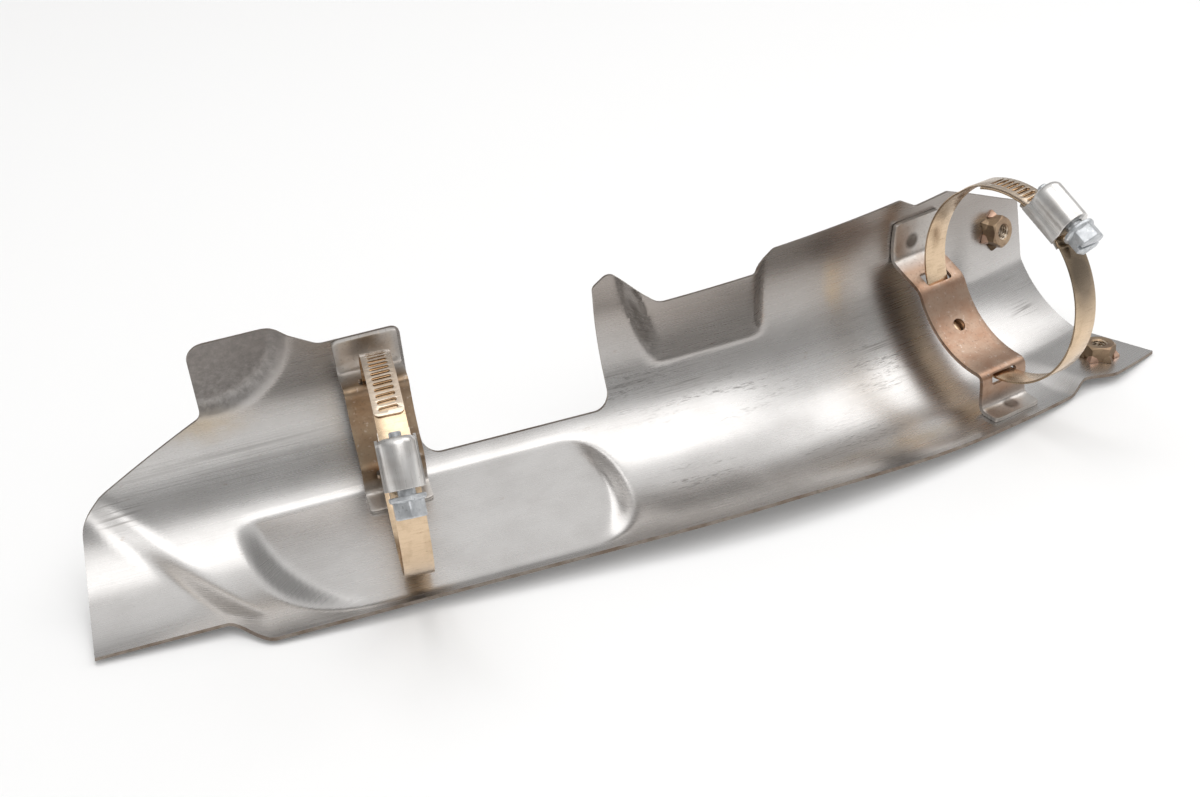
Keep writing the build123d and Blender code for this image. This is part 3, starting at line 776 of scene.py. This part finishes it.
def makeSaddle(side, saddle, clamp):
    form = saddleForm
    section = pipeSection(saddle["along"])
    path = saddlePath(saddle)
    lengths = [0.0]
    for start, end in zip(path, path[1:]):
        lengths.append(lengths[-1] + (end - start).length)
    total = lengths[-1]
    strip = flatStrip(total, form["width"], form["sheet"], form["stripPitch"], form["rows"])
    strip.name = side + "Saddle"
    bevelEdges(strip, stripCorners(tiny, total - tiny, form["width"]), form["corner"], form["cornerSteps"])
    # a window at each place where the band's ring passes through
    toRing = clamp["ring"].inverted() @ section
    inRing = [toRing @ point for point in path]
    nearest, farthest = clamp["radius"] - form["windowIn"], clamp["radius"] + form["windowOut"]
    held = [nearest < hypot(spot.x, spot.y) < farthest for spot in inRing]
    middle = total / 2
    for lower in (True, False):
        window = [index for index, at in enumerate(lengths) if held[index] and (at < middle) == lower]
        start, end = lengths[window[0]], lengths[window[-1]]
        aside = -inRing[window[len(window) // 2]].z
        size = (end - start, form["windowWidth"], form["windowCorner"], form["windowSteps"])
        outline = roundedBox((start + end) / 2, aside, *size)
        cutWith(strip, prism(outline, -form["drillReach"], form["drillReach"]))
    holeSpot = polar(form["arcRadius"], saddle["hole"])
    holeIndex = min(range(len(path)), key=lambda index: (path[index] - holeSpot).length)
    drill = rod(form["hole"], -form["drillReach"], form["drillReach"])
    drill.data.transform(Matrix.Translation((lengths[holeIndex], 0, 0)))
    cutWith(strip, drill)
    easeEdges(strip, form["edge"])
    setUv(strip, "stripUv", stripSpot)
    for vertex in strip.data.vertices:
        at = min(max(vertex.co.x, tiny), total - tiny)
        index = min(bisect(lengths, at), len(path) - 1)
        share = (at - lengths[index - 1]) / (lengths[index] - lengths[index - 1])
        spot = path[index - 1].lerp(path[index], share)
        ahead = (path[min(index + 1, len(path) - 1)] - path[max(index - 2, 0)]).normalized()
        spot += Vector((-ahead.y, ahead.x, 0)) * vertex.co.z + Vector((0, 0, vertex.co.y))
        vertex.co = (section @ spot) * mm
    smoothByAngle(strip, form["smooth"])
    return strip, total


# golden steel strip with cross grain, a tail that turns paler near its end and a painted dark reflection on a
# stretch of it
bandFinish = {
    "gold": (0.72, 0.55, 0.38), "pale": (0.68, 0.57, 0.46), "brown": (0.4, 0.28, 0.17),
    "dark": (0.16, 0.13, 0.1), "roughness": 0.21, "paleFrom": 48, "paleTo": 30, "bump": (0.12, 0.00005),
    "noise": {"grain": ((1700, 170, 1), 4, 0.7), "clouds": ((140, 200, 1), 3, 0.6, 0, 1.7)},
    "levels": {
        "clouds": (0.45, 0.75, 0, 0.6), "grain": (0.52, 0.76, 0, 0.55), "rough": (0.3, 0.7, 0.16, 0.3),
    },
    # painted dark reflection on each band: patch centre and reach in mm, then its softness and share
    "darkReflectionPatch": {"left": ((34, 0), (8, 7)), "right": ((44, 0), (17, 9))}, "darkReflectionSoft": 0.7, "darkShare": 0.85,
}


def makeBandFinish(side, length):
    finish = bandFinish
    material, shader = newMaterial(side + "GoldenBand", finish["gold"], 1.0, finish["roughness"])
    surface = surfaceOf(material, "stripUv")
    noise, level, lay = brushOf(material, surface, finish)
    along = axisOf(material, surface, "X")
    tail = stretch(material, along, (length - finish["paleFrom"]) * mm, (length - finish["paleTo"]) * mm)
    colour = lay(finish["gold"], tail, "pale")
    for name in ("clouds", "grain"):
        colour = lay(colour, level(name, noise[name]), "brown")
    # painted dark reflection: a soft dark patch laid over the band's colour
    paintedDarkReflection = patchOf(material, surface, *finish["darkReflectionPatch"][side], finish["darkReflectionSoft"])
    colour = lay(colour, multiply(material, paintedDarkReflection, finish["darkShare"]), "dark")
    rough = level("rough", noise["grain"])
    return connect(material, shader, colour, rough, noise["grain"], finish["bump"])


# bronzed in the arc, bare steel on the flanges, with a spot weld mark on each flange
saddleFinish = {
    "left": {
        "bronze": (0.34, 0.255, 0.175), "copper": (0.27, 0.185, 0.12),
        "flanges": (10.0, 17.0), "welds": ((-9.5, 1.5), (5.0, 1.0)),
    },
    "right": {
        "bronze": (0.42, 0.3, 0.225), "copper": (0.36, 0.22, 0.15),
        "flanges": (8.0, 15.0), "welds": ((-7.5, -1.5), (4.0, 1.0)),
    },
    "steel": (0.55, 0.52, 0.49), "dark": (0.11, 0.09, 0.075), "pale": (0.68, 0.6, 0.54), "roughness": 0.38,
    "weldReach": (3.0, 3.0), "weldSoft": 0.4, "fadeOnFlange": 2, "fadeOnArc": 3, "bump": (0.2, 0.00008),
    "noise": {
        "clouds": ((170, 130, 1), 4, 0.6), "grain": ((1200, 1200, 1), 3, 0.65),
        "pale": ((520, 520, 1), 4, 0.7, 0, 6.1),
    },
    "levels": {
        "copper": (0.38, 0.66), "bare": (0.3, 0.5, 0.6, 1), "pale": (0.6, 0.72, 0, 0.7),
        "weld": (0.3, 0.55, 0.55, 0.9), "grain": (0.58, 0.74, 0, 0.5), "rough": (0.3, 0.7, 0.3, 0.46),
    },
}


def makeSaddleFinish(side, total):
    finish, own = saddleFinish, saddleFinish[side]
    material, shader = newMaterial(side + "SaddleFinish", own["bronze"], 1.0, finish["roughness"])
    surface = surfaceOf(material, "stripUv")
    noise, level, lay = brushOf(material, surface, finish)
    along, clouds = axisOf(material, surface, "X"), noise["clouds"]
    colour = mixColour(material, level("copper", clouds), own["bronze"], own["copper"])
    lowEnd, highEnd = own["flanges"]
    onFlange, onArc = finish["fadeOnFlange"], finish["fadeOnArc"]
    low = stretch(material, along, (lowEnd - onFlange) * mm, (lowEnd + onArc) * mm, 1, 0)
    high = stretch(material, along, (total - highEnd - onArc) * mm, (total - highEnd + onFlange) * mm)
    bare = multiply(material, calculate(material, "MAXIMUM", low, high), level("bare", clouds))
    colour = lay(colour, bare, "steel")
    colour = lay(colour, level("pale", noise["pale"]), "pale")
    (highAt, highAside), lowSpot = own["welds"]
    spots = [(centre, finish["weldReach"]) for centre in ((total + highAt, highAside), lowSpot)]
    weld = patchesOf(material, surface, finish["weldSoft"], *spots)
    weld = multiply(material, weld, level("weld", clouds))
    colour = lay(lay(colour, weld, "dark"), level("grain", noise["grain"]), "dark")
    rough = level("rough", noise["grain"])
    height = calculate(material, "SUBTRACT", noise["grain"], weld)
    return connect(material, shader, colour, rough, height, finish["bump"])


for side, clamp in clamps.items():
    band, bandLength = makeBand(side, clamp)
    dress(band, makeBandFinish(side, bandLength))
    settle(band, side + "_clamp", side + "_clamp_band")
    saddle, saddleLength = makeSaddle(side, saddles[side], clamp)
    dress(saddle, makeSaddleFinish(side, saddleLength))
    settle(saddle, "shield", side + "_saddle")
    print(side, "band and saddle bent:", len(band.data.polygons), len(saddle.data.polygons), "faces")

# worm screw and its housing; z runs along the worm to the head, y away from the pipe;
# the flange's edge steps outwards from its rim and upwards from its two faces
screwForm = {
    "rise": 4.8, "tip": -8.0, "tipRadius": 1.6, "tipEase": 0.3, "wormEnd": 5.9, "wormRows": 48,
    "root": 3.0, "thread": 0.8, "pitch": 2.0, "neck": 2.3, "neckEnd": 8.3, "sides": 40, "smooth": 35,
    "flange": 4.85, "flangeEnd": 9.7, "flangeUnder": ((-0.3, 0), (0, 0.25)),
    "flangeOver": ((0, -0.5), (-0.3, -0.1), (-0.9, 0.3), (-2.35, 0.45)),
    "hexAcross": 8.0, "headEnd": 14.1, "hexEase": 0.35, "topEase": 0.5, "easeSteps": 3,
    "slotWidth": 1.1, "slotDepth": 1.3, "slotReach": 12, "slotEase": 0.1, "slotAngle": 50,
}
housingForm = {
    "crown": 4.8, "inside": 4.2, "skirt": 5.35, "skirtInside": 4.6, "shoulder": -2.3, "skirtTop": -3.1,
    "foot": -5.8, "length": 13.4, "endWall": 0.7, "crownSteps": 24, "tipHole": 1.9, "headHole": 2.6,
    "endRound": 2.0, "endSteps": 6, "headEase": 0.25, "headSteps": 3, "wallFoot": -3.0, "past": 1,
    "grainCentre": -7, "smooth": 35,
}


def wormPlane(clamp):
    ring = clamp["ring"]
    out = polar(1, clamp["worm"])
    origin = ring @ (out * (clamp["radius"] + screwForm["rise"]))
    across = ring.col[2].to_3d()
    return planeAt(origin, across, across.cross(ring.to_3x3() @ out))


def makeScrew(zinc):
    form = screwForm
    tip, worm, flange = form["tipRadius"], form["wormEnd"], form["flange"]
    rows = [(tip - form["tipEase"], form["tip"]), (tip, form["tip"] + form["tipEase"]), (tip, -worm)]
    rows += [(form["root"], height) for height in spread(-worm, worm, form["wormRows"])]
    rows += [(form["neck"], worm), (form["neck"], form["neckEnd"])]
    rows += [(flange + out, form["neckEnd"] + up) for out, up in form["flangeUnder"]]
    rows += [(flange + out, form["flangeEnd"] + up) for out, up in form["flangeOver"]]
    screw = turned(rows, form["sides"])
    raiseThread(screw, form["root"], form["thread"], form["pitch"], -worm - slack, worm + slack)
    height = form["headEnd"] - form["flangeEnd"]
    head = addPrimitive(
        "cylinder", vertices=6, radius=hexCorner(form["hexAcross"]), depth=height,
        location=(0, 0, form["flangeEnd"] + height / 2))
    bpy.ops.object.transform_apply()
    bevelEdges(head, upright, form["hexEase"], form["easeSteps"])
    topEdge = form["headEnd"] - slack
    bevelEdges(head, lambda a, b: min(a.z, b.z) > topEdge, form["topEase"], form["easeSteps"])
    slot = addPrimitive("cube", size=1, location=(0, 0, form["headEnd"]))
    slot.scale = (form["slotReach"], form["slotWidth"], 2 * form["slotDepth"])
    bpy.ops.object.transform_apply()
    cutWith(head, slot)
    easeEdges(head, form["slotEase"], form["slotAngle"])
    cutWith(screw, head, "UNION")
    dress(screw, zinc)
    smoothByAngle(screw, form["smooth"])
    return screw


def barrelOutline(crown, skirt, foot):
    form = housingForm
    turns = [radians(angle) for angle in spread(0, 180, form["crownSteps"])]
    arch = [(crown * cos(turn), crown * sin(turn)) for turn in turns]
    near = [(-crown, form["shoulder"]), (-skirt, form["skirtTop"]), (-skirt, foot)]
    return arch + near + [(-x, y) for x, y in reversed(near)]


def makeHousing(steel):
    form = housingForm
    end, past = form["length"] / 2, form["past"]
    housing = prism(barrelOutline(form["crown"], form["skirt"], form["foot"]), -end, end)
    # round the barrel's ends, and leave the skirt's as they are
    edge, above = end - slack, form["skirtTop"] - slack
    bevelEdges(
        housing, lambda a, b: max(a.z, b.z) < -edge and min(a.y, b.y) > above,
        form["endRound"], form["endSteps"])
    bevelEdges(
        housing, lambda a, b: min(a.z, b.z) > edge and min(a.y, b.y) > above,
        form["headEase"], form["headSteps"])
    inner, below = form["skirtInside"], form["foot"] - past
    hollow = barrelOutline(form["inside"], inner, below)
    cutWith(housing, prism(hollow, form["endWall"] - end, end - form["endWall"]))
    gap = [(-inner, form["wallFoot"]), (-inner, below), (inner, below), (inner, form["wallFoot"])]
    cutWith(housing, prism(gap, -end - past, end + past))
    cutWith(housing, rod(form["tipHole"], -end - past, 0))
    cutWith(housing, rod(form["headHole"], 0, end + past))

    def barrelSpot(spot):
        return (spot.z * mm, atan2(spot.x, spot.y - form["grainCentre"]) * form["crown"] * mm)

    setUv(housing, "barrelUv", barrelSpot)
    dress(housing, steel)
    smoothByAngle(housing, form["smooth"])
    return housing


def makeNut(bronze, copper, thread):
    form = nutForm
    corner, top = hexCorner(form["across"]), form["height"]
    nut = addPrimitive("cylinder", vertices=6, radius=corner, depth=top, location=(0, 0, top / 2))
    bpy.ops.object.transform_apply(rotation=False)
    nut.data.transform(turnBy(30, "Z"))
    bevelEdges(nut, upright, form["edge"], form["edgeSteps"])
    # cone that takes the top corners off
    wide = corner + form["coneMargin"]
    cone = [(wide, -form["coneMargin"]), (wide, 0), (corner + form["coneCorner"], top - form["chamfer"])]
    cone += [(form["across"] / 2 - form["coneFace"], top), (form["coneTip"], top + form["coneOver"])]
    cutWith(nut, turned(cone, form["coneSides"]), "INTERSECT")
    dress(nut, bronze)
    # pointed foot at each corner
    width = form["footWidth"]
    footRows = [(width, 0), (width * form["footTaper"], form["footEdge"])]
    footRows += [(form["footTop"], form["footRise"])]
    for step in range(6):
        foot = turned(footRows, 4)
        foot.data.transform(Matrix.Translation((corner + form["footReach"] - width * form["footBack"], 0, 0)))
        foot.data.transform(turnBy(60 * step, "Z"))
        cutWith(nut, foot, "UNION", copper if step % 2 else bronze)
    cutWith(nut, rod(form["collar"], -sheetForm["sheet"], form["collarTop"]), "UNION", bronze)
    reach = (form["tapFrom"], top + form["tapOver"])
    tap = turned([(form["bore"], height) for height in spread(*reach, form["tapRows"])], roundSides)
    raiseThread(tap, form["bore"], form["threadDepth"], form["pitch"], *reach)
    cutWith(nut, tap, material=thread)
    sink = [(form["bore"], top - form["sinkDepth"])]
    sink += [(form["bore"] + form["sinkWide"], top + form["sinkOver"])]
    cutWith(nut, turned(sink, roundSides), material=bronze)
    smoothByAngle(nut, form["smooth"])
    return nut


housingSteel = drawnSteel(
    "satinHousing", (0.76, 0.745, 0.725), (0.62, 0.59, 0.56), 0.3, (40, 1900, 1), "barrelUv")
plateSteel = drawnSteel("bandPlate", (0.62, 0.58, 0.53), (0.5, 0.43, 0.36), 0.3, (900, 900, 900))
nutBronze = drawnSteel("bronzedNut", (0.4, 0.29, 0.19), (0.27, 0.18, 0.12), 0.36, (800, 800, 800))
footCopper = drawnSteel("copperFoot", (0.66, 0.44, 0.33), (0.42, 0.26, 0.18), 0.36, (900, 900, 900))
nutThread = drawnSteel("cutThread", (0.66, 0.56, 0.45), (0.42, 0.33, 0.24), 0.3, (900, 900, 900))


# dull zinc with worn, bright nicks and dark pits
zincFinish = {
    "base": (0.6, 0.615, 0.63), "zinc": (0.62, 0.635, 0.65), "lump": (0.46, 0.475, 0.49),
    "nick": (0.85, 0.86, 0.87), "pit": (0.17, 0.17, 0.17), "roughness": 0.42, "bump": (0.35, 0.00018),
    "noise": {"lumps": ((420, 420, 420), 3, 0.6), "nicks": ((900, 900, 900), 4, 0.7, 0, 3.3)},
    "levels": {
        "lumps": (0.4, 0.66), "nicks": (0.6, 0.68, 0, 0.85), "pits": (0.38, 0.3, 0, 0.8),
        "rough": (0.55, 0.7, 0.48, 0.26),
    },
}


def makeZinc():
    finish = zincFinish
    material, shader = newMaterial("dullZinc", finish["base"], 1.0, finish["roughness"])
    noise, level, lay = brushOf(material, surfaceOf(material), finish)
    lumps, nicks = noise["lumps"], noise["nicks"]
    colour = lay(finish["zinc"], level("lumps", lumps), "lump")
    colour = lay(colour, level("nicks", nicks), "nick")
    colour = lay(colour, level("pits", nicks), "pit")
    height = calculate(material, "ADD", lumps, nicks)
    return connect(material, shader, colour, level("rough", nicks), height, finish["bump"])


screwMaster = makeScrew(makeZinc())
housingMaster = makeHousing(housingSteel)
nutMaster = makeNut(nutBronze, footCopper, nutThread)
for side, clamp in clamps.items():
    plane = wormPlane(clamp)
    screw = putAt(screwMaster, side + "Screw", plane)
    settle(screw, side + "_screw", side + "_clamp_screw")
    housing = putAt(housingMaster, side + "Housing", plane)
    settle(housing, side + "_clamp", side + "_clamp_housing")
    dress(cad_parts[side + "_clamp_plate"], plateSteel)
for place, seat in nutSeats.items():
    nut = putAt(nutMaster, place + "WeldNut", nutPlane(seat) @ turnBy(seat["turn"], "Z"))
    settle(nut, "shield", place + "_weld_nut")
for master in (screwMaster, housingMaster, nutMaster):
    bpy.data.objects.remove(master)
print("screws, housings and nuts in place")

# table, lamps, world and camera
stageForm = {
    "floorSize": 8.0, "floorColour": (0.8, 0.797, 0.793), "floorRoughness": 0.6, "floorGlow": 0.07,
}
table = addPrimitive("plane", size=stageForm["floorSize"], location=(0, 0, 0))
table.name = "whiteTable"
tableTop, tableShader = newMaterial(
    "whiteTableTop", stageForm["floorColour"], 0.0, stageForm["floorRoughness"])
rays = addNode(tableTop, "LightPath")
shown = calculate(tableTop, "MAXIMUM", rays.outputs["Is Camera Ray"], rays.outputs["Is Glossy Ray"])
shown = calculate(tableTop, "MAXIMUM", shown, rays.outputs["Is Transmission Ray"])
tableShader.inputs["Emission Color"].default_value = (1, 1, 1, 1)
plug(tableTop, multiply(tableTop, shown, stageForm["floorGlow"]), tableShader.inputs["Emission Strength"])
table.data.materials.append(tableTop)

# room brightness by height of the ray
roomStops = ((0.0, 0.6), (0.15, 0.45), (0.35, 0.42), (0.6, 0.55), (0.85, 0.9), (1.0, 1.0))
# the room is darker to the left: ray direction from left to right, strength there
roomSides = (-0.6, 0.6, 0.85, 1.12)
world = bpy.data.worlds.new("studio")
scene.world = world
world.use_nodes = True
worldShader = world.node_tree.nodes["Background"]
direction = addNode(world, "TexCoord").outputs["Generated"]
height = axisOf(world, direction, "Z")
room = addNode(world, "ValToRGB", Fac=height)
steps = room.color_ramp.elements
while len(steps) < len(roomStops):
    steps.new(0.5)
for step, (position, level) in zip(steps, roomStops):
    step.position = position
    step.color = (level, level, level, 1)
plug(world, room.outputs["Color"], worldShader.inputs["Color"])
aside = axisOf(world, direction, "X")
plug(world, stretch(world, aside, *roomSides), worldShader.inputs["Strength"])

# soft boxes over the front and to the right, and one behind that lights the table only
softBoxes = {
    "frontBox": {"place": (0.05, -0.55, 0.98), "size": 0.9, "power": 3.4, "mirrored": True},
    "sideBox": {"place": (0.82, 0.1, 0.78), "size": 0.75, "power": 2.4, "mirrored": True},
    "backBox": {"place": (-0.1, 0.32, 1.05), "size": 0.6, "power": 3.0, "mirrored": False},
}
for name, box in softBoxes.items():
    bpy.ops.object.light_add(type="AREA", location=box["place"])
    lamp = bpy.context.object
    lamp.name = name
    lamp.data.shape = "SQUARE"
    lamp.data.size = box["size"]
    lamp.data.energy = box["power"]
    lamp.visible_glossy = box["mirrored"]
    lamp.rotation_euler = (-Vector(box["place"])).to_track_quat("-Z", "Y").to_euler()

cameraForm = {
    "place": (-0.17224, -0.53162, 0.36766), "look": (0.24411, 0.82324, -0.51242),
    "up": (0.23948, 0.46072, 0.85425), "lens": 70.0, "sensor": 36.0,
}
bpy.ops.object.camera_add()
camera = bpy.context.object
look, up = Vector(cameraForm["look"]), Vector(cameraForm["up"])
cameraTurn = Matrix((look.cross(up), up, -look)).transposed()
camera.matrix_world = Matrix.Translation(cameraForm["place"]) @ cameraTurn.to_4x4()
camera.data.lens = cameraForm["lens"]
camera.data.sensor_width = cameraForm["sensor"]
scene.camera = camera
scene.view_settings.view_transform = "Standard"
print("stage set")
